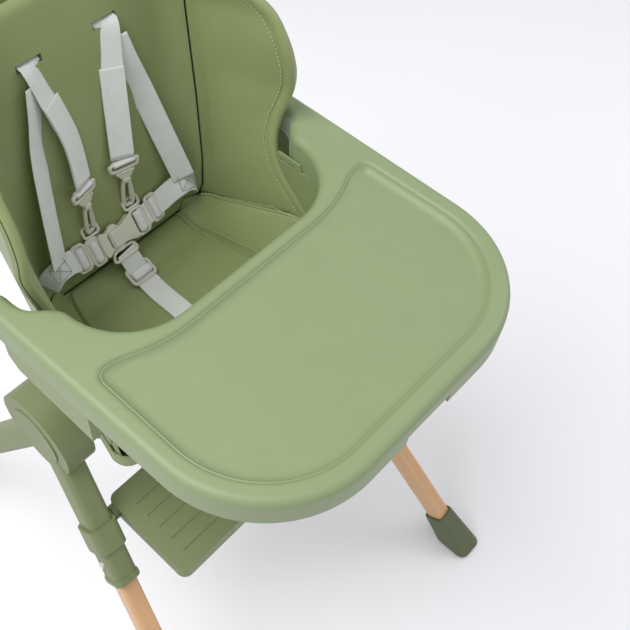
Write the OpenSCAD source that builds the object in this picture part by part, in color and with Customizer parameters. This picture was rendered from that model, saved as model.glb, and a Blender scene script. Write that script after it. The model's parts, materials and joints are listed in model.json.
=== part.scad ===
// High chair on splayed beech legs: bucket seat with a padded lining, five point harness,
// sliding tray and tilting footrest. Millimetres, +Z up, the child faces -Y and its left is +X.
// The origin is on the floor under the middle of the chair.

/* [Tray] */
// Height of the tray's rim above the floor
tray_z = 855; // [854:1:857]
// Depth of the tray's skirt
skirt_h = 40; // [38:0.5:40]
// Depth of the tray's recess
recess_h = 12; // [8:1:12]
// Wall thickness of moulded parts
wall = 3.5; // [3:0.25:3.5]

/* [Seat] */
// Thickness of the padded lining
pad_t = 10; // [8:1:10]
// Backward lean of the backrest, sideways run for each unit of height
back_lean = 0.15; // [0.12:0.01:0.16]

/* [Legs] */
// Distance from the middle to a foot, sideways
foot_x = 302.5; // [295:0.5:310]
// Distance from the middle to a foot, front to back
foot_y = 429; // [420:1:435]
// Width of a leg, side to side
leg_w = 29; // [27:1:30]
// Depth of a leg, front to back
leg_d = 33; // [31:1:34]

/* [Footrest] */
// Height of the footrest above the floor
footrest_z = 432; // [428:1:436]
// Half width of the footrest's plate
footrest_w = 196; // [190:1:197]

/* [Harness] */
// Width of the webbing
web_w = 30; // [28:1:30]
// Thickness of the webbing
web_t = 1.6; // [1.2:0.1:1.6]

/* [Hidden] */
$fn = 48;

shell_green = [0.50, 0.57, 0.36];
liner_green = [0.36, 0.42, 0.22];
tray_green = [0.60, 0.67, 0.49];
boot_green = [0.29, 0.34, 0.23];
beech = [0.80, 0.62, 0.42];
webbing = [0.66, 0.68, 0.66];
buckle_grey = [0.66, 0.65, 0.58];
steel = [0.62, 0.62, 0.64];
rubber = [0.16, 0.17, 0.15];

gap = 2; // clearance between the lining and its shell
seat_z = 676; // the bucket's U sections start here
cushion_z = 668; // top of the seat cushion
harness_x = -8; // the crotch strap and buckle hang a little off the middle
slot_z = 996; // height of the holes for the shoulder straps
hub_z = 563; // the legs' axes meet here, at the hubs
hub_x = 208.5;
hub_r = 66;

// Signs of x and y for corner i: front left, front right, rear left, rear right.
function sx(i) = i % 2 == 0 ? 1 : -1;
function sy(i) = i < 2 ? -1 : 1;

// ---- Bucket: horizontal U sections of the lining's inner face, blended from a few heights ----
function back_w(z) = lookup(z, [[676, 141], [855, 153], [996, 158], [1043, 141], [1076, 99]]);
function front_w(z) = lookup(z, [[676, 192], [760, 180], [827, 178], [902, 194], [996, 186], [1043, 155],
    [1076, 102]]);
function back_y(z) = 70 + back_lean * (z - seat_z);
function wing_y(z) = lookup(z, [[676, -155], [714, -125], [752, -90], [789, -52], [822, -29], [840, -24],
    [860, -24], [902, -34], [930, -36], [960, -28], [996, -6], [1043, 52], [1076, 112]]);
bucket_z = [676, 695, 714, 733, 752, 770, 789, 806, 822, 836, 855, 878, 902, 925, 949, 972, 996,
    1015, 1029, 1043, 1054, 1065, 1076];
pad_z = [for (z = bucket_z) if (z <= 1065) z];
corner_r = 40;
// Half of one U, offset outwards by o and forwards by grow, for side s.
function half_u(z, o, s, grow) = let (wb = back_w(z) + o, wf = front_w(z) + o, yb = back_y(z) + o,
        r = corner_r, yf = min(wing_y(z) - grow, yb - r - 8))
    concat([for (k = [0:4]) let (t = k / 5) [s * (wf + (wb - wf) * t), yf + (yb - r - yf) * t]],
        [for (a = [0:15:90]) [s * (wb - r + r * cos(a)), yb - r + r * sin(a)]]);
function u_line(z, o, grow) = let (h = half_u(z, o, 1, grow), g = half_u(z, o, -1, grow))
    concat(h, [for (i = [len(g) - 1:-1:0]) g[i]]);
function ring(z, a, b, grow) = let (p = u_line(z, b, grow), q = u_line(z, a, grow))
    concat([for (v = p) [v[0], v[1], z]], [for (i = [len(q) - 1:-1:0]) [q[i][0], q[i][1], z]]);
// A wall between offsets a and b that follows the U at every height of zs.
module bucket_wall(a, b, zs, grow = 0) {
    rings = [for (z = zs) ring(z, a, b, grow)];
    n = len(rings[0]);
    m = len(rings);
    h = n / 2;
    top = (m - 1) * n;
    polyhedron([for (r = rings, v = r) v], concat(
        [for (i = [0:h - 2]) [i, i + 1, n - 2 - i, n - 1 - i]],
        [for (k = [0:m - 2], i = [0:n - 1]) let (j = (i + 1) % n)
            [k * n + i, (k + 1) * n + i, (k + 1) * n + j, k * n + j]],
        [for (i = [0:h - 2]) [top + i + 1, top + i, top + n - 1 - i, top + n - 2 - i]]));
}
module pan_shape(o, front = -155) {
    r = corner_r;
    wb = 141 + o;
    wf = 192 + o;
    yb = 70 + o;
    polygon(concat(
        [[wf - 34, front - 12], [wf - 14, front - 8], [wf - 3, front + 3], [wf, front + 18]],
        [for (a = [0:15:90]) [wb - r + r * cos(a), yb - r + r * sin(a)]],
        [for (a = [90:15:180]) [-wb + r + r * cos(a), yb - r + r * sin(a)]],
        [[-wf, front + 18], [-wf + 3, front + 3], [-wf + 14, front - 8], [-wf + 34, front - 12]]));
}
// Holes where the shoulder straps pass through the backrest
module strap_slots() for (x = [-52, 52])
    translate([x, back_y(slot_z) + 10, slot_z]) cube([web_w + 4, 60, 10], center = true);

module seat_shell() color(shell_green) {
    difference() {
        bucket_wall(pad_t + gap, pad_t + gap + wall, bucket_z, 4);
        strap_slots();
    }
    translate([0, 0, 651]) linear_extrude(25) difference() {
        pan_shape(pad_t + gap + wall);
        pan_shape(pad_t + gap, -151);
    }
    translate([0, 0, 651]) linear_extrude(wall) pan_shape(pad_t + gap + wall);
}
module seat_cushion() color(liner_green) difference() {
    translate([0, 0, 655]) linear_extrude(cushion_z - 655) pan_shape(-1, -149);
    translate([harness_x, -62, 660]) cube([web_w + 4, 5, 40], center = true);
}
module back_cushion() color(liner_green) difference() {
    intersection() {
        bucket_wall(0, pad_t, pad_z);
        translate([-133, 30, seat_z + 1]) cube([266, 200, 500]);
    }
    strap_slots();
}
module wing_pad(s) color(liner_green) intersection() {
    bucket_wall(0, pad_t, pad_z);
    translate([s > 0 ? 134 : -334, -200, seat_z + 1]) cube([200, 500, 500]);
}

// ---- Armrests: a hollow block, its inner face, and the rail that the tray slides on ----
rest_top = tray_z - skirt_h - 1;
module rest_side(d) offset(delta = -d) polygon([[-147, 705], [-147, rest_top - 8], [-139, rest_top],
    [-72, rest_top], [-64, rest_top - 8], [-117, 752], [-139, 714]]);
module armrest(s) color(shell_green) mirror([s > 0 ? 0 : 1, 0, 0]) {
    rotate([90, 0, 90]) translate([0, 0, 209]) linear_extrude(20) polygon([[-147, 740],
        [-147, rest_top - 8], [-139, rest_top], [-10, rest_top], [-2, rest_top - 8], [-2, 756], [-18, 740]]);
    rotate([90, 0, 90]) translate([0, 0, 176.5]) difference() {
        linear_extrude(33) rest_side(0);
        translate([0, 0, 3]) linear_extrude(27) rest_side(wall);
    }
    translate([186, -40, 780]) rotate([0, 90, 0]) cylinder(h = 24, r = 9);
}
module armrest_panel(s) color(shell_green) mirror([s > 0 ? 0 : 1, 0, 0])
    rotate([90, 0, 90]) translate([0, 0, 173.5]) linear_extrude(2.9) difference() {
        polygon([[-146, 706], [-146, 806], [-139, 813], [-84, 813], [-80, 823], [-44, 823], [-38, 817],
            [-58, 789], [-96, 752], [-131, 714], [-139, 706]]);
        translate([-70, 812]) square([22, 3]);
    }
module tray_rail(s) color(shell_green) mirror([s > 0 ? 0 : 1, 0, 0]) difference() {
    rotate([90, 0, 90]) translate([0, 0, 215]) linear_extrude(13)
        polygon([[-146, rest_top], [-146, 832], [-140, 838], [-8, 838], [-2, 832], [-2, rest_top]]);
    translate([214, -150, 825]) cube([7, 90, 8.6]);
}

// ---- Legs ----
function leg_dir(i) = [sx(i) * (hub_x - foot_x), -sy(i) * foot_y, hub_z];
leg_len = norm(leg_dir(0));
lean = acos(hub_z / leg_len);
function turn(i) = atan2(leg_dir(i)[1], leg_dir(i)[0]);
sleeve_from = 456;
button_up = 492;
// Puts a child that stands on Z onto a leg's axis, a distance up from the floor.
module on_leg(i, up) translate([sx(i) * foot_x, sy(i) * foot_y, 0])
    rotate([0, lean, turn(i)]) rotate([0, 0, -turn(i)]) translate([0, 0, up]) children();
module rounded_bar(w, d, r, h) linear_extrude(h) polygon([
    for (c = [[1, 1, 0], [-1, 1, 90], [-1, -1, 180], [1, -1, 270]], a = [0:22.5:90])
        [c[0] * (w / 2 - r) + r * cos(c[2] + a), c[1] * (d / 2 - r) + r * sin(c[2] + a)]]);
module button_hole(i, r) on_leg(i, button_up)
    translate([sx(i) * leg_w / 2, 0, 0]) rotate([0, 90, 0]) cylinder(h = 26, r = r, center = true);
module leg(i) color(beech) difference() {
    on_leg(i, 24) rounded_bar(leg_w, leg_d, 6, 536);
    button_hole(i, 6.5);
}
module leg_sleeve(i) color(shell_green) difference() {
    union() {
        on_leg(i, sleeve_from) rounded_bar(leg_w + 8, leg_d + 8, 9, leg_len - 36 - sleeve_from);
        on_leg(i, sleeve_from) rounded_bar(leg_w + 12, leg_d + 12, 10, 8);
    }
    on_leg(i, sleeve_from - 20) rounded_bar(leg_w + 0.6, leg_d + 0.6, 6, 125);
    button_hole(i, 5.06);
}
module leg_button(i) color(buckle_grey) on_leg(i, button_up)
    translate([sx(i) * (leg_w / 2 + 1), 0, 0]) rotate([0, 90, 0]) cylinder(h = 14, r = 5, center = true);
module hub(s) color(shell_green) difference() {
    union() {
        translate([s * hub_x, 0, hub_z]) rotate([0, 90, 0]) cylinder(h = 45, r = hub_r, center = true);
        translate([s * hub_x, 0, hub_z]) rotate([0, 90, 0]) cylinder(h = 49, r = 44, center = true);
    }
    for (i = [0:3]) if (sx(i) == s)
        on_leg(i, leg_len - 100) rounded_bar(leg_w + 8.4, leg_d + 8.4, 9, 64.5);
}
module base_frame() color(shell_green) difference() {
    translate([-184, -76, 590]) cube([368, 152, 60.5]);
    translate([-178, -70, 589]) cube([356, 140, 56]);
    for (x = [-90, 90], y = [-40, 40])
        translate([x, y, 640]) cylinder(h = 30, r = 3.05);
}
module base_screws() color(steel) for (x = [-90, 90], y = [-40, 40]) translate([x, y, 0]) {
    translate([0, 0, 641.8]) cylinder(h = 3.1, r = 5.5);
    translate([0, 0, 644.9]) cylinder(h = 6, r = 3);
}
// Boot: a flared foot that grips the leg's end
module boot(i) color(boot_green) difference() {
    hull() {
        on_leg(i, 82) rounded_bar(leg_w + 9, leg_d + 9, 8, 2);
        translate([sx(i) * foot_x, sy(i) * foot_y, 4]) rounded_bar(54, 66, 14, 2);
    }
    on_leg(i, 23.6) rounded_bar(leg_w + 0.6, leg_d + 0.6, 6, 120);
}
module foot_pad(i) color(rubber) translate([sx(i) * foot_x, sy(i) * foot_y, 0])
    rounded_bar(48, 60, 12, 3.9);

// ---- Footrest: a plate that tilts up on two pins, held by brackets round the front legs ----
pivot_y = -foot_y + footrest_z * foot_y / hub_z + 4;
pivot_z = footrest_z - 12;
bracket_up = footrest_z * leg_len / hub_z - 34;
module footrest_bracket(s) color(shell_green) {
    i = s > 0 ? 0 : 1;
    difference() {
        union() {
            on_leg(i, bracket_up) rounded_bar(leg_w + 16, leg_d + 16, 11, 40);
            translate([s * 213, pivot_y, pivot_z]) rotate([0, 90, 0]) cylinder(h = 17, r = 13, center = true);
        }
        on_leg(i, bracket_up - 20) rounded_bar(leg_w + 8.4, leg_d + 8.4, 9, 100);
        translate([s * 210, pivot_y, pivot_z]) rotate([0, 90, 0]) cylinder(h = 30, r = 3.5, center = true);
    }
}
module footrest_pins() color(steel) for (s = [-1, 1])
    translate([s * 202, pivot_y, pivot_z]) rotate([0, 90, 0]) cylinder(h = 17, r = 3.45, center = true);
module footrest_plate() color(shell_green) difference() {
    union() {
        translate([0, 0, footrest_z - 4]) linear_extrude(4) footrest_shape(0);
        translate([0, 0, footrest_z - 24]) linear_extrude(21) difference() {
            footrest_shape(0);
            footrest_shape(3.5);
        }
        for (s = [-1, 1]) translate([s * 199, pivot_y, pivot_z]) rotate([0, 90, 0])
            cylinder(h = 9, r = 11.5, center = true);
    }
    for (y = [-212, -188, -164, -140, -116])
        translate([-footrest_w + 24, y, footrest_z - 1.2]) cube([2 * footrest_w - 48, 2.2, 2]);
    for (s = [-1, 1]) translate([s * 202, pivot_y, pivot_z]) rotate([0, 90, 0])
        cylinder(h = 18, r = 3.5, center = true);
}
module footrest_shape(d) offset(r = 14) offset(delta = -14 - d)
    polygon([[-footrest_w, -236], [footrest_w, -236], [footrest_w, -78], [-footrest_w, -78]]);

// ---- Tray ----
// Outline inset by d: round front corners, straight sides, two arms, a curved belly cut-out.
function tray_half(d) = concat(
    [for (a = [-90:6:0]) [89 + (144 - d) * cos(a), -263 + (144 - d) * sin(a)]],
    [for (a = [0:22.5:90]) [239.5 - d - 12 + 12 * cos(a), 8 - d - 12 + 12 * sin(a)]],
    [[214 + d, 8 - d], [210 + d, 2 - d], [210 + d, -22], [206 + d, -32], [190 + d, -45], [181 + d, -56]],
    [for (a = [0:-6:-90]) [91 + (89 + d) * cos(a), -64 + (85 + d) * sin(a)]]);
module both(h) polygon(concat(h, [for (i = [len(h) - 1:-1:0]) [-h[i][0], h[i][1]]]));
// Recess floor: its rear corners are tucked in where the arms begin.
function recess_half(d) = concat(
    [for (a = [-90:6:0]) [89 + (121 - d) * cos(a), -263 + (121 - d) * sin(a)]],
    [for (a = [0:22.5:112.5]) [211 - d - 14 + 14 * cos(a), -158 - d + 14 * sin(a)]],
    [for (a = [-62:-7:-90]) [94 + (180 + d) * cos(a), 12 + (180 + d) * sin(a)]]);
module tray() color(tray_green) difference() {
    translate([0, 0, tray_z - skirt_h]) linear_extrude(skirt_h) both(tray_half(0));
    translate([0, 0, tray_z - recess_h]) linear_extrude(recess_h + 1) both(recess_half(0));
    translate([0, 0, tray_z - skirt_h - 1]) linear_extrude(skirt_h + 1 - recess_h - wall) both(tray_half(wall));
    // Openings for the handle at the front and for the rails at the arms' ends
    translate([-34, -412, tray_z - skirt_h - 1]) cube([68, 14, 17]);
    for (s = [-1, 1]) translate([s * 222 - 8.5, -5, tray_z - skirt_h - 1]) cube([17, 20, 25.5]);
}
module tray_cover() color(shell_green) difference() {
    translate([-75, -352, 817]) cube([150, 160, 2.5]);
    for (y = [-250, -220]) translate([-40, y, 816]) cube([80, 6, 5]);
}
module tray_handle() color(boot_green) {
    translate([-30, -402, 820.5]) cube([60, 100, 4]);
    translate([-30, -403, 816]) cube([60, 6, 13]);
    translate([-22, -306, 820.5]) cube([44, 6, 12]);
}
module tray_lock_pin(s) color(steel) mirror([s > 0 ? 0 : 1, 0, 0]) {
    translate([42, -170, 829]) rotate([0, 90, 0]) cylinder(h = 127, r = 2.4);
    translate([169, -170, 829]) rotate([-90, 0, 0]) cylinder(h = 45, r = 2.4);
    translate([169, -125, 829]) rotate([0, 90, 0]) cylinder(h = 50, r = 3);
}

// ---- Harness ----
function unit(v) = v / norm(v);
function dir(p, k) = unit(p[min(k + 1, len(p) - 1)] - p[max(k - 1, 0)]);
// A flat band through points p, its width along w.
module band(p, w) color(webbing) {
    q = [for (k = [0:len(p) - 1]) let (t = dir(p, k), n = unit(cross(t, w)), s = unit(cross(n, t)))
        [for (c = [[-1, -1], [1, -1], [1, 1], [-1, 1]])
            p[k] + s * c[0] * web_w / 2 + n * c[1] * web_t / 2]];
    m = len(p);
    polyhedron([for (r = q, v = r) v], concat([[0, 1, 2, 3]],
        [for (k = [0:m - 2], i = [0:3]) let (j = (i + 1) % 4)
            [k * 4 + i, (k + 1) * 4 + i, (k + 1) * 4 + j, k * 4 + j]],
        [[for (i = [3:-1:0]) (m - 1) * 4 + i]]));
}
shoulder_path = [[52, 150, 996], [52, 122, 996], [52, 113, 990], [46, 106, 957], [35, 92, 893], [24, 78, 832]];
side_path = [[58, 108, 975], [66, 103, 940], [78, 96, 896], [92, 78, 825], [105, 58, 754]];
function hip_path(s) = [[s > 0 ? 30 : 42, 62, 731], [s > 0 ? 49 : 58, 63, 732], [s > 0 ? 66 : 74, 64, 735],
    [88, 62, 742], [105, 57, 748], [119, 58, 742], [128, 61, 728]];
crotch_path = [[-8, -62, 656], [-8, -62, 668], [-8, -58, 672], [-8, -40, 673], [-8, -8, 673], [-7, 12, 675],
    [-7, 30, 681], [-9, 42, 697], [-11, 49, 711]];
module shoulder_strap(s) mirror([s > 0 ? 0 : 1, 0, 0]) band(shoulder_path, [0.9, -0.4, 0]);
module side_strap(s) mirror([s > 0 ? 0 : 1, 0, 0]) band(side_path, [0.88, -0.38, 0.26]);
module hip_strap(s) mirror([s > 0 ? 0 : 1, 0, 0]) band(hip_path(s), [0.1, 0.53, 0.85]);
module crotch_strap() band(crotch_path, [1, 0, 0]);

// The harness fittings are drawn for webbing 25 wide and grow with it.
module fitting() scale(web_w / 25) children();
// The buckle's own frame: X across the child, Y up its face, Z out of its face.
module on_buckle() translate([harness_x, 62, 730]) rotate([58, 0, 0]) fitting() children();
module buckle_ring(x) translate([x, 24, 0]) difference() {
    cube([24, 15, 4], center = true);
    cube([17, 8, 6], center = true);
}
module buckle_housing() color(buckle_grey) on_buckle() difference() {
    union() {
        translate([3, 0, 0]) cube([34, 30, 11], center = true);
        translate([30, 0, 0]) cube([20, 34, 5], center = true);
        buckle_ring(28);
        translate([-3, -20, 0]) cube([36, 14, 4], center = true);
    }
    translate([1, 0, 0]) cube([32, 25, 6.4], center = true);
    for (x = [24.8, 33.5]) translate([x, 0, 0]) cube([4.5, 28, 8], center = true);
    for (y = [-1, 1]) translate([-4.7, y * 15, 0]) cube([17.4, 10, 6.4], center = true);
    translate([-3, -21, 0]) cube([28, 8, 8], center = true);
}
module buckle_tongue() color(buckle_grey) on_buckle() difference() {
    union() {
        translate([-20.6, 0, 0]) cube([11, 28, 9], center = true);
        translate([-8, 0, 0]) cube([20, 5, 4.6], center = true);
        translate([-32, 0, 0]) cube([16, 34, 5], center = true);
        buckle_ring(-28);
    }
    for (x = [-28.8, -36]) translate([x, 0, 0]) cube([4, 28, 8], center = true);
    for (y = [-1, 1]) translate([-17.4, y * 8.5, 0]) cube([5.4, 7.8, 12], center = true);
}
module buckle_prong(s) color(buckle_grey) on_buckle() mirror([0, s > 0 ? 0 : 1, 0])
    linear_extrude(5, center = true) polygon([[-19.6, 6.8], [-15.8, 6.8], [-14, 7.2], [8, 7.6], [9, 9.2],
        [1, 9.8], [0, 15.8], [-9.6, 15.8], [-13, 11.6], [-19.6, 11.6]]);
module snap_hook(s) color(buckle_grey) translate([s > 0 ? 24 : -40, 77, 808]) fitting() {
    difference() {
        translate([0, 0, 10]) cube([36, 4, 16], center = true);
        translate([0, 0, 12]) cube([28, 6, 5], center = true);
    }
    translate([0, 0, -10]) cylinder(h = 12, r = 7);
    difference() {
        translate([-8, -2.5, -48]) cube([16, 5, 38]);
        translate([-3.5, -4, -42]) cube([7, 8, 28]);
    }
}
module waist_adjuster(s) color(buckle_grey)
    translate([s > 0 ? 52 : -68, 64, 732]) rotate([58, 0, 0]) fitting() difference() {
        cube([20, 34, 4], center = true);
        for (x = [-5, 5]) translate([x, 0, 0]) cube([5, 27, 6], center = true);
    }
module crotch_adjuster() color(buckle_grey) translate([-7, 28, 680]) rotate([24, 0, 0]) fitting() difference() {
    cube([36, 26, 4], center = true);
    for (y = [-6, 6]) translate([0, y, 0]) cube([28, 6, 6], center = true);
}

seat_shell();
seat_cushion();
back_cushion();
wing_pad(1);  // wing_pad_left
wing_pad(-1);  // wing_pad_right
armrest(1);  // armrest_left
armrest(-1);  // armrest_right
armrest_panel(1);  // armrest_panel_left
armrest_panel(-1);  // armrest_panel_right
tray_rail(1);  // tray_rail_left
tray_rail(-1);  // tray_rail_right
base_frame();
base_screws();
hub(1);  // hub_left
hub(-1);  // hub_right
leg_sleeve(0);  // leg_sleeve_front_left
leg_sleeve(1);  // leg_sleeve_front_right
leg_sleeve(2);  // leg_sleeve_rear_left
leg_sleeve(3);  // leg_sleeve_rear_right
leg(0);  // leg_front_left
leg(1);  // leg_front_right
leg(2);  // leg_rear_left
leg(3);  // leg_rear_right
leg_button(0);  // leg_button_front_left
leg_button(1);  // leg_button_front_right
leg_button(2);  // leg_button_rear_left
leg_button(3);  // leg_button_rear_right
boot(0);  // boot_front_left
boot(1);  // boot_front_right
boot(2);  // boot_rear_left
boot(3);  // boot_rear_right
foot_pad(0);  // foot_pad_front_left
foot_pad(1);  // foot_pad_front_right
foot_pad(2);  // foot_pad_rear_left
foot_pad(3);  // foot_pad_rear_right
footrest_bracket(1);  // footrest_bracket_left
footrest_bracket(-1);  // footrest_bracket_right
footrest_plate();
footrest_pins();
tray();
tray_handle();
tray_lock_pin(1);  // tray_lock_pin_left
tray_lock_pin(-1);  // tray_lock_pin_right
tray_cover();
shoulder_strap(1);  // shoulder_strap_left
shoulder_strap(-1);  // shoulder_strap_right
side_strap(1);  // side_strap_left
side_strap(-1);  // side_strap_right
hip_strap(1);  // hip_strap_left
hip_strap(-1);  // hip_strap_right
crotch_strap();
buckle_housing();
buckle_tongue();
buckle_prong(1);  // buckle_prong_upper
buckle_prong(-1);  // buckle_prong_lower
snap_hook(1);  // snap_hook_left
snap_hook(-1);  // snap_hook_right
waist_adjuster(1);  // waist_adjuster_left
waist_adjuster(-1);  // waist_adjuster_right
crotch_adjuster();
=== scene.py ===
# High chair: the finished look of a padded bucket seat on beech legs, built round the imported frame.
import json
import math
import bpy
import bmesh
import numpy as np
from mathutils import Matrix, Vector

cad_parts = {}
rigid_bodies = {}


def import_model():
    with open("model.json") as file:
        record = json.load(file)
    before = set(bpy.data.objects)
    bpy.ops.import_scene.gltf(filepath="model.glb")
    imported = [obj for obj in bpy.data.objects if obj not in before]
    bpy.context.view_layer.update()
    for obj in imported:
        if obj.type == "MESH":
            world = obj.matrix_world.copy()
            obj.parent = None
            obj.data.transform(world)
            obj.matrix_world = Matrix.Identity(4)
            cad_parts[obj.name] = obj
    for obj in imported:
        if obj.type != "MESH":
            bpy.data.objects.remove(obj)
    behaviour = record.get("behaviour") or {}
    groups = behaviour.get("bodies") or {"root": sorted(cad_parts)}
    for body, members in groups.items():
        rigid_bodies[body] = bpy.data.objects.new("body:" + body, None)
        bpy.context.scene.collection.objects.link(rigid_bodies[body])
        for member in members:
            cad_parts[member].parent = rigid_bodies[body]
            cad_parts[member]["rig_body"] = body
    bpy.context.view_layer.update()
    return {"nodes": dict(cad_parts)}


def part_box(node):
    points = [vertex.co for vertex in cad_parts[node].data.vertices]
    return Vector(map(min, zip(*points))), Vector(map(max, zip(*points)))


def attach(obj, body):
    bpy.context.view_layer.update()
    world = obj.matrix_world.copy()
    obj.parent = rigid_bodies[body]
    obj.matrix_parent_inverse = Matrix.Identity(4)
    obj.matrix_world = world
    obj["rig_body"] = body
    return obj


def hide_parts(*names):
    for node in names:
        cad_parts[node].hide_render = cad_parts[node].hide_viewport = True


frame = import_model()

# ---------------------------------------------------------------- camera
# Seen from above the tray's front right corner, about an arm's length from it.
tray_low, tray_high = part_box("tray")
tray_top = tray_high[2]
tray_front = tray_low[1]
view_back = Vector((-0.4169, -0.4088, 0.8118))
lens = bpy.data.cameras.new("camera")
lens.lens = 50.97
lens.shift_x = 0.135
camera = bpy.data.objects.new("camera", lens)
camera.location = (-0.449, tray_front - 0.163, tray_top + 0.750)
camera.rotation_euler = (-view_back).to_track_quat("-Z", "Y").to_euler()
bpy.context.scene.collection.objects.link(camera)
bpy.context.scene.camera = camera

# ---------------------------------------------------------------- tray
# One injection moulding in sage green: a shallow recess inside a rounded rim, a deep skirt,
# and two arms that reach back over the armrests either side of the belly cut-out.
MM = 0.001
SAGE = (0.228, 0.288, 0.146, 1)


class Socket:
    """A shader socket that is used in Python expressions."""

    def __init__(self, tree, link):
        self.tree, self.link = tree, link

    def _math(self, how, other, swap=False):
        node = self.tree.nodes.new("ShaderNodeMath")
        node.operation = how
        pair = (other, self) if swap else (self, other)
        for slot, value in zip(node.inputs, pair):
            if isinstance(value, Socket):
                self.tree.links.new(value.link, slot)
            else:
                slot.default_value = value
        return Socket(self.tree, node.outputs[0])

    def __add__(self, other): return self._math("ADD", other)
    def __radd__(self, other): return self._math("ADD", other, True)
    def __sub__(self, other): return self._math("SUBTRACT", other)
    def __rsub__(self, other): return self._math("SUBTRACT", other, True)
    def __mul__(self, other): return self._math("MULTIPLY", other)
    def __rmul__(self, other): return self._math("MULTIPLY", other, True)
    def __truediv__(self, other): return self._math("DIVIDE", other)
    def __gt__(self, other): return self._math("GREATER_THAN", other)
    def __lt__(self, other): return self._math("LESS_THAN", other)

    def node(self, kind, output=0, ramp=None, **values):
        """Adds any other node; settings first, then sockets by name with _ for a space."""
        made = self.tree.nodes.new("ShaderNode" + kind)
        sockets = {}
        for name, value in values.items():
            if hasattr(made, name) and not isinstance(value, Socket) and name.islower() and name != "color":
                setattr(made, name, value)
            else:
                sockets[name.replace("_", " ")] = value
        if ramp:
            for k, (place, colour) in enumerate(ramp):
                stop = made.color_ramp.elements[k] if k < 2 else made.color_ramp.elements.new(place)
                stop.position, stop.color = place, colour
        for name, value in sockets.items():
            slot = made.inputs[int(name[1:])] if name[1:].isdigit() else made.inputs[name]
            if isinstance(value, Socket):
                self.tree.links.new(value.link, slot)
            else:
                slot.default_value = value
        return Socket(self.tree, made.outputs[output])


def finish_of(name, **constants):
    """A new material: its Principled shader's constants, and a Socket to build from."""
    made = bpy.data.materials.new(name)
    made.use_nodes = True
    tree = made.node_tree
    shader = tree.nodes["Principled BSDF"]
    for key, value in constants.items():
        shader.inputs[key.replace("_", " ")].default_value = value
    start = tree.nodes.new("ShaderNodeTexCoord")
    return made, shader, Socket(tree, start.outputs["Object"]), Socket(tree, start.outputs["UV"])


def wire(shader, **links):
    for name, value in links.items():
        value.tree.links.new(value.link, shader.inputs[name.replace("_", " ")])


def mixed(a_colour, b_colour, amount):
    """Two colours blended by a varying amount."""
    return amount.node("Mix", output=2, data_type="RGBA", _0=amount, _6=a_colour, _7=b_colour)


def moulded(name, colour, shade=0.90, roughness=0.46, grain=0.05, coarse=26.0):
    """Moulded plastic: a hardly visible cloudiness, spark-eroded grain and faint handling marks."""
    made, shader, place, _ = finish_of(name, Specular_IOR_Level=0.42)
    cloud = place.node("TexNoise", Vector=place, Scale=coarse, Detail=3.0)
    fine = place.node("TexNoise", Vector=place, Scale=1500.0, Detail=2.0)
    dark = tuple(c * shade for c in colour[:3]) + (1,)
    wire(shader, Base_Color=mixed(dark, colour, cloud * 0.7 + fine * 0.3),
         Roughness=cloud * 0.10 + fine * 0.08 + (roughness - 0.09),
         Normal=fine.node("Bump", Strength=grain, Distance=0.0004, Height=fine))
    return made


def smooth_loop(points, rounds=2, step=5.0):
    """Rounds a closed outline's corners and spaces its points evenly."""
    p = np.array(points, float)
    for _ in range(rounds):
        q = np.roll(p, -1, axis=0)
        p = np.stack([p * 0.75 + q * 0.25, p * 0.25 + q * 0.75], 1).reshape(-1, 2)
    closed = np.vstack([p, p[:1]])
    run = np.concatenate([[0], np.cumsum(np.linalg.norm(np.diff(closed, axis=0), axis=1))])
    at = np.linspace(0, run[-1], int(run[-1] / step), endpoint=False)
    return np.stack([np.interp(at, run, closed[:, k]) for k in (0, 1)], 1)


def inset(loop, d):
    """Moves an anticlockwise loop inwards by d."""
    ahead, behind = np.roll(loop, -1, axis=0), np.roll(loop, 1, axis=0)
    along = ahead - behind
    along /= np.linalg.norm(along, axis=1)[:, None]
    return loop + np.stack([-along[:, 1], along[:, 0]], 1) * d


def object_of(name, bm, material, body, smooth=True):
    """Turns a bmesh in millimetres into a piece that rides on a body."""
    bmesh.ops.scale(bm, vec=(MM, MM, MM), verts=bm.verts)
    bmesh.ops.recalc_face_normals(bm, faces=bm.faces)
    mesh = bpy.data.meshes.new(name)
    bm.to_mesh(mesh)
    bm.free()
    for face in mesh.polygons:
        face.use_smooth = smooth
    piece = bpy.data.objects.new(name, mesh)
    bpy.context.scene.collection.objects.link(piece)
    mesh.materials.append(material)
    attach(piece, body)
    return piece


def add_loop(bm, loop, z):
    return [bm.verts.new((x, y, z)) for x, y in loop]


def bridge(bm, low, high):
    n = len(low)
    for k in range(n):
        bm.faces.new((low[k], low[(k + 1) % n], high[(k + 1) % n], high[k]))


def loop_edges(bm, ring):
    return [bm.edges.get((ring[k], ring[(k + 1) % len(ring)])) or
            bm.edges.new((ring[k], ring[(k + 1) % len(ring)])) for k in range(len(ring))]


def cut_with_boxes(piece, boxes):
    """Cuts box-shaped openings, each (centre, size) in millimetres."""
    bm = bmesh.new()
    for centre, size in boxes:
        place = Matrix.Translation(Vector(centre) * MM) @ Matrix.Diagonal((*(Vector(size) * MM), 1))
        bmesh.ops.create_cube(bm, size=1, matrix=place)
    mesh = bpy.data.meshes.new("cutter")
    bm.to_mesh(mesh)
    bm.free()
    cutter = bpy.data.objects.new("cutter", mesh)
    bpy.context.scene.collection.objects.link(cutter)
    cut = piece.modifiers.new("cut", "BOOLEAN")
    cut.operation, cut.object, cut.solver = "DIFFERENCE", cutter, "EXACT"
    settle(piece)
    piece.data.set_sharp_from_angle(angle=math.radians(62))
    bpy.data.objects.remove(cutter)


def settle(piece):
    """Applies every modifier on a piece."""
    shown = piece.evaluated_get(bpy.context.evaluated_depsgraph_get())
    mesh = bpy.data.meshes.new_from_object(shown)
    piece.modifiers.clear()
    piece.data = mesh


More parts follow.
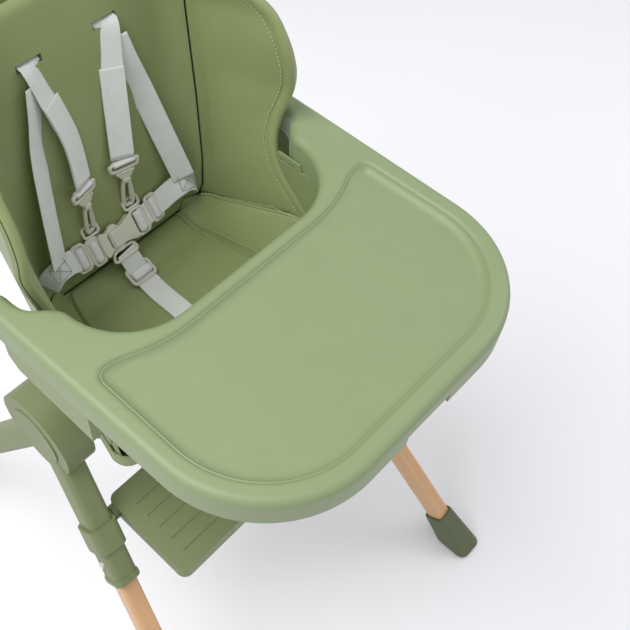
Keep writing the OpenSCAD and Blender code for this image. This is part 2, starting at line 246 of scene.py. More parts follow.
def arc(cx, cy, r, start, stop, count):
    turn = np.radians(np.linspace(start, stop, count))
    return [(cx + r * math.cos(a), cy + r * math.sin(a)) for a in turn]


def both_sides(half):
    return half + [(-x, y) for x, y in reversed(half)]


tray_outline = smooth_loop(both_sides(
    arc(89, -263, 144, -90, 0, 24) + arc(227.5, -4, 12, 0, 90, 6) + [(216, 8), (210, 2), (210, -22),
    (204, -36), (190, -47), (181, -58)] + arc(91, -64, 87, 0, -90, 20)), rounds=2)
recess_outline = smooth_loop(both_sides(
    arc(89, -263, 121, -90, 0, 24) + arc(195, -160, 15, 0, 105, 8) + arc(94, 14, 182, -64, -90, 6)), rounds=2)
rim_round = 10.5
recess_deep = 10.0
top = tray_top / MM
skirt_bottom = tray_low[2] / MM
bm = bmesh.new()
rings = [add_loop(bm, tray_outline, skirt_bottom + 0.8), add_loop(bm, tray_outline, top - rim_round - 12)]
for a in np.radians(np.linspace(0, 90, 9)):
    d = rim_round * (1 - math.cos(a))
    rings.append(add_loop(bm, inset(tray_outline, d), top - rim_round + rim_round * math.sin(a)))
for low, high in zip(rings, rings[1:]):
    bridge(bm, low, high)
inner = []
for a in np.radians(np.linspace(0, 62, 6)):
    inner.append(add_loop(bm, inset(recess_outline, -5.5 + 7 * math.sin(a)), top - 7 + 7 * math.cos(a)))
for a in np.radians(np.linspace(62, 0, 7)):
    inner.append(add_loop(bm, inset(recess_outline, 14.5 - 14 * math.sin(a)),
                          top - recess_deep + 12.4 * (1 - math.cos(a))))
for low, high in zip(inner, inner[1:]):
    bridge(bm, low, high)
bmesh.ops.triangle_fill(bm, edges=loop_edges(bm, rings[-1]) + loop_edges(bm, inner[0]), use_beauty=True)
bm.faces.new(inner[-1])
hollow = [add_loop(bm, inset(tray_outline, d), skirt_bottom + rise)
          for d, rise in ((0.9, 0), (3.0, 0), (3.6, 0.8), (3.6, 24))]
bridge(bm, rings[0], hollow[0])
for low, high in zip(hollow, hollow[1:]):
    bridge(bm, low, high)
bm.faces.new(hollow[-1])
tray_plastic = moulded("tray_plastic", SAGE, roughness=0.43, grain=0.035)
tray = object_of("tray_moulding", bm, tray_plastic, "tray_body")
cut_with_boxes(tray, [((0, -405, 821.5), (68, 14, 17))]
               + [((s * 222, 5, 825), (17, 24, 29)) for s in (-1, 1)])
tray.modifiers.new("shade", "WEIGHTED_NORMAL").keep_sharp = True
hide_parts("tray")

# ---------------------------------------------------------------- padded lining
# Soft polyurethane leather over foam in separate pieces: a back cushion, two wings that wrap
# forward with bound and stitched edges, and a seat pad with a sewn channel round it.
OLIVE = (0.255, 0.305, 0.125, 1)
leather, shader, place, _ = finish_of("lining_leather", Specular_IOR_Level=0.45, Sheen_Weight=0.12)
pores = place.node("TexVoronoi", Vector=place, Scale=1100.0)
cloud = place.node("TexNoise", Vector=place, Scale=14.0, Detail=4.0)
crush = place.node("TexNoise", Vector=place, Scale=60.0, Detail=5.0)
wire(shader, Base_Color=mixed((0.195, 0.236, 0.090, 1), OLIVE, cloud * 0.6 + pores * 0.5),
     Roughness=crush * 0.16 + cloud * 0.08 + 0.34,
     Normal=place.node("Bump", Strength=0.16, Distance=0.0012, Height=pores * 0.35 + crush * 0.5))

lean = 0.15
seat_top = 676.0
heights = np.arange(676, 1078, 4.0)


def eased(table, taps=9):
    """A profile through a few (height, value) pairs with its corners rounded off."""
    z, value = zip(*table)
    raw = np.pad(np.interp(heights, z, value), taps // 2, mode="reflect", reflect_type="odd")
    soft = np.convolve(raw, np.hanning(taps + 2)[1:-1] / np.hanning(taps + 2).sum(), mode="valid")
    return lambda at: float(np.interp(at, heights, soft))


back_w = eased([(676, 141), (855, 153), (996, 158), (1043, 141), (1076, 99)])
front_w = eased([(676, 190), (740, 176), (790, 172), (827, 176), (902, 194), (996, 186),
                 (1043, 155), (1076, 102)])
wing_y = eased([(676, -150), (714, -115), (750, -80), (790, -43), (822, -27), (840, -24), (860, -24),
                (902, -34), (930, -36), (960, -28), (996, -6), (1043, 52), (1076, 112)])
corner = 40.0


def bucket(u, z, out, grow=0.0):
    """A point of the bucket: u is 0 to 1 along the side, to 2 round the corner, to 3 along the back."""
    wb, wf, yb = back_w(z) + out, front_w(z) + out, 70 + lean * (z - seat_top) + out
    yf = min(wing_y(z) - grow, yb - corner - 8)
    if u <= 1:
        return Vector((wf + (wb - wf) * u, yf + (yb - corner - yf) * u, z))
    if u <= 2:
        a = math.radians(90 * (u - 1))
        return Vector((wb - corner + corner * math.cos(a), yb - corner + corner * math.sin(a), z))
    return Vector(((wb - corner) * (3 - u), yb, z))


def crease_x(z):
    """Half width of the back cushion, with rounded lower corners."""
    low = max(0.0, 40 - (z - 682))
    return min(138 + 0.1 * (z - 714), back_w(z) - 4) - (40 - math.sqrt(max(0, 40 ** 2 - low ** 2))) * 0.6


def crease_u(z):
    """Where the wing meets the back cushion."""
    x, flat = crease_x(z), back_w(z) - corner
    return 3 - x / flat if x < flat else 1 + math.acos(min(1, (x - flat) / corner)) / (math.pi / 2)


def seam_z(y):
    """Height of the seam between a wing and the seat's side bolster."""
    return float(np.interp(y, (-160, -110, -72, 0, 69), (712, 731, 733, 719, 704)))


def edge_roll(d, r):
    """0 at an edge, 1 from r inwards, round between."""
    t = max(0.0, min(1.0, d / r))
    return math.sqrt(1 - (1 - t) ** 2)


def pillow(bm, point, nu, nv):
    """A closed pad: point(u, v, side) gives its face (side 0) and back (side 1), joined at the edges."""
    grids = []
    for side in (0, 1):
        grid = {}
        for i in range(nu + 1):
            for j in range(nv + 1):
                rim = i in (0, nu) or j in (0, nv)
                if side and rim:
                    grid[i, j] = grids[0][i, j]
                else:
                    grid[i, j] = bm.verts.new(point(i / nu, j / nv, side))
        grids.append(grid)
        for i in range(nu):
            for j in range(nv):
                ring = (grid[i, j], grid[i + 1, j], grid[i + 1, j + 1], grid[i, j + 1])
                bm.faces.new(ring if side else ring[::-1])


top_z = 1066.0


def wing_point(s):
    def point(u, v, side):
        low = seam_z(bucket(u * 1.9, 706, 0).y) - 5
        z = low + (top_z - low) * v
        reach = crease_u(z) + 0.012
        along = (bucket(0, z, 0) - bucket(1, z, 0)).length + 50
        roll = min(edge_roll(u * along, 11), edge_roll((1 - u) * along, 3.5), edge_roll(z - low, 9),
                   edge_roll((top_z - z) * 1.2, 11))
        puff = 2.2 * math.sin(math.pi * u) * math.sin(math.pi * v) ** 0.5
        crumple = 0.5 * math.sin(z / 17 + 3 * u) * u * (1 - u) * 4
        out = 5 + (4.6 * roll if side else -(5 + puff + crumple) * roll)
        p = bucket(u * reach, z, out)
        return (s * p.x, p.y, p.z)
    return point


for s, word in ((1, "left"), (-1, "right")):
    bm = bmesh.new()
    pillow(bm, wing_point(s), 56, 70)
    wing = object_of(f"wing_pad_{word}_cover", bm, leather, "chair")
    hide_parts(f"wing_pad_{word}")


def back_point(u, v, side):
    z = 679 + (top_z - 2 - 679) * v
    wb = back_w(z)
    half = crease_x(z) + 0.6
    x = half * (2 * u - 1)
    yb = 70 + lean * (z - seat_top)
    curve = abs(x) - (wb - corner)
    y = yb if curve < 0 else yb - corner + math.sqrt(max(0, corner ** 2 - curve ** 2))
    roll = min(edge_roll(half - abs(x), 3.5), edge_roll(z - 679, 9), edge_roll(top_z - 2 - z, 13))
    puff = 3.2 * (1 - (x / half) ** 2) * math.sin(math.pi * v) ** 0.6
    puff += 5 * (1 - (x / half) ** 4) * math.exp(-((z - 712) / 26) ** 2)
    y += 5 + (4.4 * roll if side else -(5.4 + puff) * roll)
    return (x, y, z)


bm = bmesh.new()
pillow(bm, back_point, 70, 72)
back = object_of("back_cushion_cover", bm, leather, "chair")
cut_with_boxes(back, [((s * 52, 128, 996), (34, 60, 10)) for s in (-1, 1)])
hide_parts("back_cushion")


SEAT_FRONT, SEAT_REAR = -160, 69


def seat_half(y):
    """Half width of the seat pad at a depth."""
    if y < -137:
        return 191 - 34 + math.sqrt(max(0, 34 ** 2 - (-137 - y) ** 2 * 3.2)) if y > -156 else 158
    if y > 30:
        return 101 + math.sqrt(max(0, 40 ** 2 - (y - 30) ** 2))
    return 191 + (140 - 191) * (y + 137) / 167


def channel_x(y):
    """Where a straight sewn channel parts the seat's flat middle from its side bolster."""
    return 97 + (71 - y) * 0.225


def seat_point(u, v, side):
    y = SEAT_FRONT + (SEAT_REAR - SEAT_FRONT) * v
    half = seat_half(y)
    x = half * (2 * u - 1)
    roll = min(edge_roll(half - abs(x), 6), edge_roll(y - SEAT_FRONT, 14),
               edge_roll(SEAT_REAR - y, 10))
    t = max(0.0, (abs(x) - channel_x(y)) / max(1, half - channel_x(y)))
    late = 0.6 * max(0.0, min(1.0, (y - 5) / 50))
    rise = (seam_z(y) - 669) * (t * (0.75 - late) + t * t * (0.25 + late))
    swell = 4.5 * math.sin(math.pi * min(1, t)) * (t > 0)
    swell += 3.0 * (1 - (x / channel_x(y)) ** 2) if t == 0 else 0
    groove = 5.0 * math.exp(-((abs(x) - channel_x(y) - 1.5) / 2.7) ** 2)
    lift = 17 * max(0.0, (y - 24) / 45) ** 2 * (1 - t)
    if side:
        return (x, y, 662 - 5.5 * roll + rise * 0.86)
    return (x, y, 665.5 + rise + (2.5 + swell - groove) * roll + lift)


bm = bmesh.new()
pillow(bm, seat_point, 190, 84)
seat = object_of("seat_cushion_cover", bm, leather, "chair")
cut_with_boxes(seat, [((-8, -62, 668), (34, 5, 40))])
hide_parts("seat_cushion")


def catmull(points, step=4.0):
    """A smooth route through a few points."""
    p = [Vector(q) for q in points]
    p = [p[0] * 2 - p[1]] + p + [p[-1] * 2 - p[-2]]
    out = []
    for k in range(1, len(p) - 2):
        count = max(2, int((p[k + 1] - p[k]).length / step))
        for m in range(count):
            t = m / count
            out.append(0.5 * ((2 * p[k]) + (p[k + 1] - p[k - 1]) * t
                              + (2 * p[k - 1] - 5 * p[k] + 4 * p[k + 1] - p[k + 2]) * t * t
                              + (3 * p[k] - p[k - 1] - 3 * p[k + 1] + p[k + 2]) * t ** 3))
    return out + [p[-2]]


def sweep(bm, route, across, section):
    """Runs a closed section (a, b) along a route; a lies along across."""
    uv = bm.loops.layers.uv.verify()
    rings, run, last = [], 0.0, None
    n = len(section)
    for k, p in enumerate(route):
        along = (route[min(k + 1, len(route) - 1)] - route[max(k - 1, 0)]).normalized()
        wide = across(k) if callable(across) else Vector(across)
        normal = along.cross(wide).normalized()
        wide = normal.cross(along)
        run += (p - last).length if last else 0
        last = p
        rings.append(([bm.verts.new(p + wide * a + normal * b) for a, b in section], run))
    for (low, v0), (high, v1) in zip(rings, rings[1:]):
        for k in range(n):
            face = bm.faces.new((low[k], low[(k + 1) % n], high[(k + 1) % n], high[k]))
            u0, u1 = section[k][0] * MM, section[(k + 1) % n][0] * MM
            for loop, value in zip(face.loops, ((u0, v0), (u1, v0), (u1, v1), (u0, v1))):
                loop[uv].uv = (value[0], value[1] * MM)
    bm.faces.new(rings[0][0][::-1])
    bm.faces.new(rings[-1][0])


def oval(a, b, count=10, power=2.0):
    """A section between an ellipse (power 2) and a rounded rectangle (higher)."""
    out = []
    for k in range(count):
        t = 2 * math.pi * k / count
        c, s = math.cos(t), math.sin(t)
        out.append((a * math.copysign(abs(c) ** (2 / power), c), b * math.copysign(abs(s) ** (2 / power), s)))
    return out


# ---------------------------------------------------------------- bindings, piping and stitches
# A folded strip of the lining is sewn over each wing's front edge with a row of stitches inside it;
# piping closes the seam where wing and seat meet, and pale thread runs along seam and channels.
def stitch_row(bm, route, normals, pitch=5.2, length=3.6, thick=0.42):
    """A row of raised stitches along a route, each a small rounded bar."""
    run = [0.0]
    for a, b in zip(route, route[1:]):
        run.append(run[-1] + (b - a).length)
    at = 0.0
    while at + length < run[-1]:
        ends = []
        for want in (at, at + length / 2, at + length):
            k = min(max(1, int(np.searchsorted(run, want))), len(route) - 1)
            t = (want - run[k - 1]) / max(1e-6, run[k] - run[k - 1])
            ends.append(route[k - 1].lerp(route[k], t) + normals[k] * (0.1 if len(ends) != 1 else 0.5))
        sweep(bm, ends, normals[k].cross(ends[2] - ends[0]).normalized(), oval(thick * 1.2, thick, 6))
        at += pitch


thread, shader, place, _ = finish_of("lining_thread", Specular_IOR_Level=0.3)
twist = place.node("TexNoise", Vector=place, Scale=2200.0)
wire(shader, Base_Color=mixed((0.36, 0.40, 0.20, 1), (0.55, 0.60, 0.34, 1), twist),
     Roughness=twist * 0.2 + 0.6)
for s, word in ((1, "left"), (-1, "right")):
    def on_side(u, z, out):
        p = bucket(u, z, out)
        return Vector((s * p.x, p.y, p.z))

    span = np.arange(682, 1062, 6.0)
    bm = bmesh.new()
    route = [on_side(0, z, 4.6) + Vector((0, -0.5, 0)) for z in span]
    inward = [(on_side(0.2, z, 4.6) - on_side(0, z, 4.6)).normalized() for z in span]
    sweep(bm, route, lambda k: inward[k], oval(7.0, 6.0, 16, 2.6))
    object_of(f"wing_binding_{word}", bm, leather, "chair")
    bm = bmesh.new()
    face = [on_side(0, z, -1.0) + inward[k] * 7.5 for k, z in enumerate(span)]
    out = [inward[k].cross(Vector((0, 0, 1))).normalized() * s for k in range(len(span))]
    out = [n if n.x * s < 0 else -n for n in out]
    stitch_row(bm, face, out)
    object_of(f"wing_stitches_{word}", bm, thread, "chair")
    depths = np.arange(-146, 62, 4.0)
    bm = bmesh.new()
    low = [Vector((s * (seat_half(y) + 0.5), y, seam_z(y) - 3.2)) for y in depths]
    sweep(bm, low, (0, 0, 1), oval(2.2, 2.2, 10))
    object_of(f"seat_piping_{word}", bm, leather, "chair")
    bm = bmesh.new()
    line = [on_side(u, seam_z(bucket(u, 706, 0).y) + 4.5, -6.4) for u in np.arange(0.06, 1.5, 0.03)]
    stitch_row(bm, line, [Vector((-s * 0.6, 0, 0.8))] * len(line))
    line = [Vector((s * (channel_x(y) + 5), y, seat_point(0.5 + (channel_x(y) + 5) / seat_half(y) / 2,
            (y + 160) / 229, 0)[2] + 0.5)) for y in depths]
    stitch_row(bm, line, [Vector((0, 0, 1))] * len(line))
    object_of(f"seat_stitches_{word}", bm, thread, "chair")

# ---------------------------------------------------------------- bucket shell
# The moulded shell that carries the lining, with a rounded lip all round its front edge.
shell_plastic = moulded("shell_plastic", (0.215, 0.265, 0.118, 1), roughness=0.44, grain=0.08)


def shell_point(u, v, side):
    z = 662 + (1075 - 662) * v
    out = 13.75 + (1.75 if side else -1.75)
    flip = -1 if u > 0.5 else 1
    t = (u if u <= 0.5 else 1 - u) * 6
    p = bucket(t, max(z, 676), out, 4)
    return (flip * p.x, p.y, z)


bm = bmesh.new()
pillow(bm, shell_point, 150, 80)
pan = smooth_loop(both_sides([(173, -167), (196, -164), (206, -152), (207.5, -137)]
                             + arc(116.5, 45.5, 40, 0, 90, 8)),
                  1, 5.0)[::-1]
pan = pan if np.cross(pan[0] - pan.mean(0), pan[1] - pan.mean(0)) > 0 else pan[::-1]
rings = [add_loop(bm, inset(pan, d), z)
         for d, z in ((6, 651), (1.6, 651.8), (0, 655), (0, 674), (0.6, 675.5),
                                                    (1.8, 676), (3.0, 675.5), (3.5, 674), (3.5, 655))]
bm.faces.new(rings[0][::-1])
for low, high in zip(rings, rings[1:]):
    bridge(bm, low, high)
bm.faces.new(rings[-1])
shell = object_of("bucket_shell", bm, shell_plastic, "chair")
cut_with_boxes(shell, [((s * 52, 128, 996), (34, 60, 10)) for s in (-1, 1)])
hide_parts("seat_shell")

# ---------------------------------------------------------------- armrests, rails and base
# Hollow olive mouldings: armrest blocks with snap-in inner panels, the rails that the tray runs
# on, and the base frame and hubs under the seat that the legs plug into.
def finished(node, material, round_by=1.2, turn=32):
    """The node's own shape with its edges broken and its faces shaded smooth."""
    source = frame["nodes"][node]
    bm = bmesh.new()
    bm.from_mesh(source.data)
    bmesh.ops.remove_doubles(bm, verts=bm.verts, dist=2e-6)
    bmesh.ops.dissolve_limit(bm, angle_limit=math.radians(0.8), verts=bm.verts, edges=bm.edges)
    bmesh.ops.scale(bm, vec=(1000, 1000, 1000), verts=bm.verts)
    piece = object_of(f"{node}_body", bm, material, source["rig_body"])
    if round_by:
        edges = piece.modifiers.new("edges", "BEVEL")
        edges.width, edges.segments = round_by * MM, 3
        edges.limit_method, edges.angle_limit = "ANGLE", math.radians(turn)
    piece.modifiers.new("shade", "WEIGHTED_NORMAL").keep_sharp = True
    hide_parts(node)
    return piece


dark_olive = moulded("frame_plastic", (0.180, 0.215, 0.098, 1), roughness=0.48, grain=0.09)
for word in ("left", "right"):
    finished(f"armrest_{word}", shell_plastic, 2.6)
    finished(f"armrest_panel_{word}", shell_plastic, 0.8)
    finished(f"tray_rail_{word}", shell_plastic, 1.5)
    finished(f"hub_{word}", dark_olive, 2.4)
finished("base_frame", dark_olive, 2.0)

# ---------------------------------------------------------------- screws and steel pins
# Zinc-plated steel: base screws, footrest pins and the bent wire pins that lock the tray.
plated, shader, place, _ = finish_of("plated_steel", Metallic=1.0)
brushed = place.node("TexNoise", Vector=place.node("Mapping", Vector=place, Scale=(40, 900, 900)), Scale=1.0)
wire(shader, Base_Color=mixed((0.46, 0.46, 0.48, 1), (0.62, 0.62, 0.64, 1), brushed),
     Roughness=brushed * 0.2 + 0.24)
for node in ("base_screws", "footrest_pins", "tray_lock_pin_left", "tray_lock_pin_right"):
    finished(node, plated, 0.3)

# ---------------------------------------------------------------- tray latch
# A pull handle under the tray's front edge, in darker plastic, and the cover that carries it.
dark_plastic = moulded("boot_plastic", (0.102, 0.122, 0.060, 1), roughness=0.52, grain=0.10)
finished("tray_handle", dark_plastic, 1.2)
finished("tray_cover", tray_plastic, 0.6)

# ---------------------------------------------------------------- beech legs
# Four solid beech bars with rounded corners, lacquered satin; the grain runs along each bar with
# the short dark flecks of beech.
beech, shader, _, uv = finish_of("beech", Specular_IOR_Level=0.5, Coat_Weight=0.25, Coat_Roughness=0.3)
grain = uv.node("TexNoise", Vector=uv.node("Mapping", Vector=uv, Scale=(420, 9, 1)), Scale=1.0, Detail=5.0)
band = uv.node("TexNoise", Vector=uv.node("Mapping", Vector=uv, Scale=(90, 1.6, 1)), Scale=1.0, Detail=3.0)
fleck = uv.node("TexVoronoi", Vector=uv.node("Mapping", Vector=uv, Scale=(900, 130, 1)), Scale=1.0)
tone = mixed((0.50, 0.270, 0.120, 1), (0.66, 0.400, 0.205, 1), grain * 0.55 + band * 0.75 - 0.15)
wire(shader, Base_Color=mixed((0.38, 0.185, 0.075, 1), tone, (fleck > 0.16) * 0.5 + 0.5),
     Roughness=grain * 0.2 + 0.32,
     Normal=uv.node("Bump", Strength=0.12, Distance=0.0004, Height=grain * 0.6 + fleck * 0.3))
corners = (("front_left", 1, -1), ("front_right", -1, -1), ("rear_left", 1, 1), ("rear_right", -1, 1))
for word, sx, sy in corners:
    foot = Vector((sx * 302.5, sy * 429, 0))
    axis = (Vector((sx * 208.5, 0, 563)) - foot).normalized()
    bm = bmesh.new()
    route = [foot + axis * d for d in np.linspace(26, 560, 20)]
    sweep(bm, route, (1, 0, 0), oval(14.5, 16.5, 28, 5.5))
    leg = object_of(f"leg_{word}_bar", bm, beech, "chair")
    leg.modifiers.new("shade", "WEIGHTED_NORMAL").keep_sharp = True
    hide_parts(f"leg_{word}")

# ---------------------------------------------------------------- leg sleeves, buttons, boots and feet
# Sockets moulded in olive that take the legs, with sprung release buttons, and darker flared
# boots with rubber pads under them.
rubber, shader, place, _ = finish_of("foot_rubber", Specular_IOR_Level=0.3)
dust = place.node("TexNoise", Vector=place, Scale=90.0, Detail=4.0)
wire(shader, Base_Color=mixed((0.018, 0.019, 0.016, 1), (0.035, 0.036, 0.031, 1), dust),
     Roughness=dust * 0.2 + 0.65,
     Normal=dust.node("Bump", Strength=0.1, Distance=0.0003, Height=dust))
grey_plastic = moulded("buckle_plastic", (0.60, 0.59, 0.50, 1), roughness=0.40, grain=0.05)
for word, sx, sy in corners:
    finished(f"leg_sleeve_{word}", dark_olive, 1.2)
    finished(f"leg_button_{word}", grey_plastic, 1.0)
    finished(f"boot_{word}", dark_plastic, 2.2, 20)
    finished(f"foot_pad_{word}", rubber, 0.8)

# ---------------------------------------------------------------- footrest
# A ribbed plate that tilts up between two brackets clamped round the front legs.
finished("footrest_plate", dark_olive, 0.5)
for word in ("left", "right"):
    finished(f"footrest_bracket_{word}", dark_olive, 2.0)

# ---------------------------------------------------------------- harness webbing
# Woven polyester straps in pale grey: two over the shoulders, two down the sides, two round the
# waist and one between the legs, doubled and box-stitched where they are joined.
webbing, shader, _, uv = finish_of("harness_webbing", Specular_IOR_Level=0.25, Sheen_Weight=0.15)
across = uv.node("SeparateXYZ", output=0, Vector=uv)
along = uv.node("SeparateXYZ", output=1, Vector=uv)
zigzag = across.node("Math", operation="PINGPONG", _0=across, _1=0.0032)
rib = across.node("Math", operation="SINE", _0=along * 2600.0 + zigzag * 2600.0) * 0.5 + 0.5
yarn = across.node("Math", operation="SINE", _0=across * 5200.0) * 0.5 + 0.5
soil = uv.node("TexNoise", Vector=uv, Scale=60.0, Detail=3.0)
# Colour follows the weave's relief: painted shade darkens the low ribs and yarns, and the soil noise adds real
# soiling on top.
weave_shade_and_soil = rib * 0.55 + yarn * 0.2 + soil * 0.3
wire(shader, Base_Color=mixed((0.50, 0.515, 0.50, 1), (0.84, 0.86, 0.84, 1), weave_shade_and_soil),
     Roughness=soil * 0.15 + 0.62,
     Normal=uv.node("Bump", Strength=0.7, Distance=0.0006, Height=rib * 0.6 + yarn * 0.4))
web_half = 15.0
flat = oval(web_half, 0.85, 20, 7)
strap_thread, shader, place, _ = finish_of("harness_thread", Specular_IOR_Level=0.3)
twist = place.node("TexNoise", Vector=place, Scale=2200.0)
wire(shader, Base_Color=mixed((0.16, 0.17, 0.15, 1), (0.28, 0.29, 0.26, 1), twist),
     Roughness=twist * 0.2 + 0.6)


def strap(node, points, wide, doubled=None):
    """One strap; doubled gives the stretch of it that is folded back and sewn."""
    bm = bmesh.new()
    route = catmull(points, 3.0)
    sweep(bm, route, wide, flat)
    if doubled:
        first, last = (int(len(route) * t) for t in doubled)
        lift = Vector(wide).cross(route[-1] - route[0]).normalized()
        lift = lift if lift.y < 0 else -lift
        sweep(bm, [p + lift * 2.0 for p in route[first:last]], wide, flat)
    piece = object_of(f"{node}_web", bm, webbing, "chair")
    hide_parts(node)
    return route


def box_stitch(name, centre, wide, along, half=(10.5, 13.0)):
    """A sewn box with a cross in it, where two layers of webbing are joined."""
    wide, along = Vector(wide).normalized(), Vector(along).normalized()
    face = wide.cross(along).normalized()
    face = face if face.y < 0 else -face
    c = [centre + wide * a * half[0] + along * b * half[1] for a, b in ((-1, -1), (1, -1), (1, 1), (-1, 1))]
    bm = bmesh.new()
    for a, b in ((0, 1), (1, 2), (2, 3), (3, 0), (0, 2), (1, 3)):
        line = [c[a].lerp(c[b], t) for t in np.linspace(0, 1, 6)]
        stitch_row(bm, line, [face] * 6, 2.6, 1.9, 0.34)
    object_of(name, bm, strap_thread, "chair")


for s, word in ((1, "left"), (-1, "right")):
    def on(points):
        return [(s * x, y, z) for x, y, z in points]

    wide = (s * 0.92, -0.38, 0.0)
    strap(f"shoulder_strap_{word}", on([(52, 150, 996), (52, 122, 996), (52, 113, 990), (46, 106, 957),
                                        (35, 92, 893), (24 + (s < 0) * 14, 78, 832)]), wide, (0.42, 0.995))
    box_stitch(f"shoulder_box_{word}", Vector((s * (42 + (s < 0) * 3), 97.0, 925)), wide, (s * 11, 14, 60),
               (10.5, 11))
    strap(f"side_strap_{word}", on([(58, 108, 975), (66, 103, 940), (78, 96, 896), (92, 78, 825),
                                    (105, 58, 754)]), (s * 0.88, -0.38, 0.26))
    start = 30 if s > 0 else 42
    strap(f"hip_strap_{word}", on([(start, 62, 731), (start + 17, 63, 732), (start + 34, 64, 735),
                                   (88, 62, 742),
                                   (105, 57, 748), (119, 58, 742), (128, 61, 728)]), (0.1 * s, 0.53, 0.85))
    box_stitch(f"hip_box_{word}", Vector((s * 108, 54.8, 750)), (s * 0.88, -0.2, -0.1),
               (0.1 * s, 0.53, 0.85), (12.5, 12))
strap("crotch_strap", [(-8, -62, 656), (-8, -62, 668), (-8, -58, 672), (-8, -40, 673), (-8, -8, 673),
                       (-7, 12, 675), (-7, 30, 681), (-9, 42, 697), (-11, 49, 711)], (1, 0, 0))

# ---------------------------------------------------------------- buckle and fittings
# Acetal fittings: a side-release buckle with two squeeze prongs and round-wired loops, snap hooks
# on the shoulder straps, and ladder-lock sliders. Each bar carries a tight roll of webbing.
ACROSS = Vector((1, 0, 0))


class Seat:
    """A flat local frame: a across the child, b up the fitting's face, c out of it."""

    def __init__(self, origin, slope, swing=0.0):
        self.origin = Vector(origin)
        turn = Matrix.Rotation(math.radians(swing), 3, "Z") @ Matrix.Rotation(math.radians(slope), 3, "X")
        self.a, self.b, self.c = turn @ ACROSS, turn @ Vector((0, 1, 0)), turn @ Vector((0, 0, 1))

    def at(self, x, y, z=0.0):
        return self.origin + self.a * x + self.b * y + self.c * z


def wire_loop(bm, seat, x, y, wide, high, thick, deep=None, z=0.0, taper=0.0):
    """A closed rounded-rectangle loop of round wire in a fitting's plane."""
    w, h = wide / 2 - thick, high / 2 - thick
    path = smooth_loop([(-w, -h), (0, -h), (w, -h), (w, 0), (w - taper, h), (0, h), (-w + taper, h), (-w, 0)],
                       rounds=2, step=1.6)
    deep = deep or thick
    rings = []
    for k, p in enumerate(path):
        run = path[(k + 1) % len(path)] - path[k - 1]
        run /= np.linalg.norm(run)
        side = np.array((run[1], -run[0]))
        ring = []
        for t in np.linspace(0, 2 * math.pi, 10, endpoint=False):
            q = p + side * thick * math.cos(t)
            ring.append(bm.verts.new(seat.at(x + q[0], y + q[1], z + deep * math.sin(t))))
        rings.append(ring)
    for k, ring in enumerate(rings):
        bridge(bm, ring, rings[(k + 1) % len(rings)])


def slab(bm, seat, outline, thick, soft, z=0.0):
    """A moulded plate with rounded edges, from its outline."""
    rings = []
    turns = np.radians(np.linspace(0, 90, 5))
    for way, order in ((-1, turns[::-1]), (1, turns)):
        for t in order:
            d = soft * (1 - math.cos(t))
            level = z + way * (thick / 2 - soft + soft * math.sin(t))
            rings.append([bm.verts.new(seat.at(px, py, level)) for px, py in inset(outline, d)])
    flat_outline = inset(outline, soft + 0.35)
    rings.insert(0, [bm.verts.new(seat.at(px, py, z - thick / 2)) for px, py in flat_outline])
    rings.append([bm.verts.new(seat.at(px, py, z + thick / 2)) for px, py in flat_outline])
    for low, high in zip(rings, rings[1:]):
        bridge(bm, low, high)
    bm.faces.new(rings[0][::-1])
    bm.faces.new(rings[-1])


def roll_of_webbing(bm, seat, x, y, z=0.8, upright=True, half=14.4, fat=6.0, tall=5.0):
    """Webbing turned tightly round a bar."""
    way = seat.b if upright else seat.a
    route = [seat.at(x, y, z) + way * d for d in np.linspace(-half, half, 8)]
    sweep(bm, route, seat.a if upright else seat.b, oval(fat, tall, 20, 2.6))


def fitting(name, bm, node, material=grey_plastic):
    piece = object_of(name, bm, material, frame["nodes"][node]["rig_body"])
    piece.modifiers.new("shade", "WEIGHTED_NORMAL").weight = 80
    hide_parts(node)
    return piece


buckle = Seat((-8, 62, 730), 58)
bm = bmesh.new()
slab(bm, buckle, smooth_loop([(-17, -14), (-12, -11.5), (3, -11.5), (12, -14), (20, -17), (25, -18), (25, 18),
                              (19, 17), (12, 14), (3, 11.5), (-12, 11.5), (-17, 14)], 2, 1.2), 12, 1.7)
wire_loop(bm, buckle, 35, 0, 25, 40, 2.2, 2.6)
wire_loop(bm, buckle, 34, 28, 27, 18, 2.1)
wire_loop(bm, buckle, -4, -24, 42, 18, 2.2, taper=4)
fitting("buckle_box", bm, "buckle_housing")
bm = bmesh.new()
slab(bm, buckle, smooth_loop([(-32, -17), (-25, -17), (-18.5, -13), (-18.5, 13), (-25, 17), (-32, 17)],
                             2, 1.2), 10, 1.4)
wire_loop(bm, buckle, -40, 0, 22, 40, 2.2, 2.6)
wire_loop(bm, buckle, -34, 28, 27, 18, 2.1)
fitting("buckle_plug", bm, "buckle_tongue")
for side, word in ((1, "upper"), (-1, "lower")):
    outline = [(-23.5, 8.2), (-19, 8.2), (-16.8, 8.6), (9.6, 9.1), (10.8, 11), (1.2, 11.8), (0.6, 15), (-3, 19),
               (-10.5, 19), (-15.6, 14.4), (-23.5, 14)]
    outline = smooth_loop(outline if side > 0 else [(x, -y) for x, y in reversed(outline)], 1, 1.0)
    bm = bmesh.new()
    slab(bm, buckle, outline, 6, 0.9)
    fitting(f"buckle_squeeze_{word}", bm, f"buckle_prong_{word}")
for x, word in ((35.0, "left"), (-40.0, "right")):
    bm = bmesh.new()
    roll_of_webbing(bm, buckle, x, 0)
    object_of(f"webbing_roll_{word}", bm, webbing, "chair")

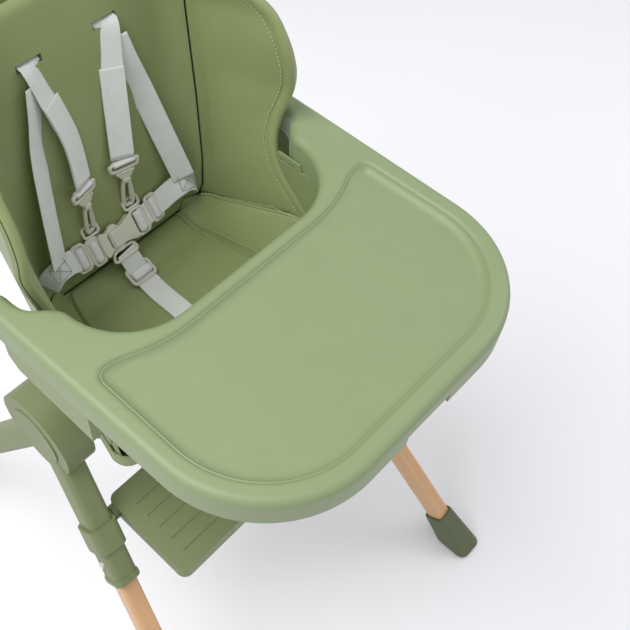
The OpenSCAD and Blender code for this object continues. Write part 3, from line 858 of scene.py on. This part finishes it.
for (x, y, z), word in (((24, 77, 808), "left"), ((-40, 77, 808), "right")):
    hook = Seat((x, y, z), 90, -12 if x > 0 else 12)
    bm = bmesh.new()
    wire_loop(bm, hook, 0, 14, 42, 17, 2.6, taper=-2)
    slab(bm, hook, smooth_loop([(-8, -6), (8, -6), (9, -1), (16, 6), (-16, 6), (-9, -1)], 2, 1.2), 7, 1.5)
    slab(bm, hook, smooth_loop([(-6, -13), (6, -13), (6, -5), (-6, -5)], 2, 1.2), 10, 1.8)
    wire_loop(bm, hook, 0, -33, 19, 50, 2.9, taper=3)
    sweep(bm, [hook.at(3.4, d) for d in np.linspace(-52, -12, 6)], hook.a, oval(1.6, 2.0, 10))
    fitting(f"snap_hook_{word}_wire", bm, f"snap_hook_{word}")
    bm = bmesh.new()
    roll_of_webbing(bm, hook, 0, 19.5, 0, False, 14.8, 3.2, 4.4)
    object_of(f"yoke_roll_{word}", bm, webbing, "chair")

for (x, y, z), word in (((54, 64, 733), "left"), ((-70, 64, 733), "right")):
    slider = Seat((x, y, z), 58, 6 if x > 0 else -6)
    bm = bmesh.new()
    wire_loop(bm, slider, 0, 0, 22, 40, 2.2, 2.6)
    fitting(f"waist_slider_{word}", bm, f"waist_adjuster_{word}")
    bm = bmesh.new()
    roll_of_webbing(bm, slider, 0, 0, 1.6, fat=5.2, tall=4.2)
    object_of(f"waist_roll_{word}", bm, webbing, "chair")
slider = Seat((-7, 28, 682), 24)
bm = bmesh.new()
wire_loop(bm, slider, 0, 0, 41, 29, 2.3, 2.6)
fitting("crotch_slider", bm, "crotch_adjuster")
bm = bmesh.new()
roll_of_webbing(bm, slider, 0, -1, 1.8, False, 14.6, 6.0, 4.2)
object_of("crotch_roll", bm, webbing, "chair")

# ---------------------------------------------------------------- floor and light
# A pale studio floor, one broad soft light overhead and a weaker one from the side.
bm = bmesh.new()
bmesh.ops.create_grid(bm, x_segments=1, y_segments=1, size=6)
mesh = bpy.data.meshes.new("floor")
bm.to_mesh(mesh)
bm.free()
floor = bpy.data.objects.new("floor", mesh)
bpy.context.scene.collection.objects.link(floor)
paint, shader, place, _ = finish_of("floor_paint", Roughness=0.9)
cloud = place.node("TexNoise", Vector=place, Scale=2.0)
wire(shader, Base_Color=mixed((0.83, 0.83, 0.86, 1), (0.87, 0.87, 0.89, 1), cloud))
mesh.materials.append(paint)
world = bpy.data.worlds.new("studio")
bpy.context.scene.world = world
world.use_nodes = True
world.node_tree.nodes["Background"].inputs[0].default_value = (0.98, 0.98, 1.0, 1)
world.node_tree.nodes["Background"].inputs[1].default_value = 0.70
for name, spot, aim, size, power in (("key", (-1.2, 0.35, 2.9), (0, -0.1, 0.8), 1.9, 64),
                                     ("side", (2.4, -1.4, 2.2), (0, -0.2, 0.8), 1.6, 18)):
    lamp = bpy.data.lights.new(name, "AREA")
    lamp.size, lamp.energy = size, power
    piece = bpy.data.objects.new(name, lamp)
    piece.location = spot
    piece.rotation_euler = (Vector(spot) - Vector(aim)).to_track_quat("Z", "Y").to_euler()
    bpy.context.scene.collection.objects.link(piece)
bpy.context.scene.view_settings.view_transform = "Standard"
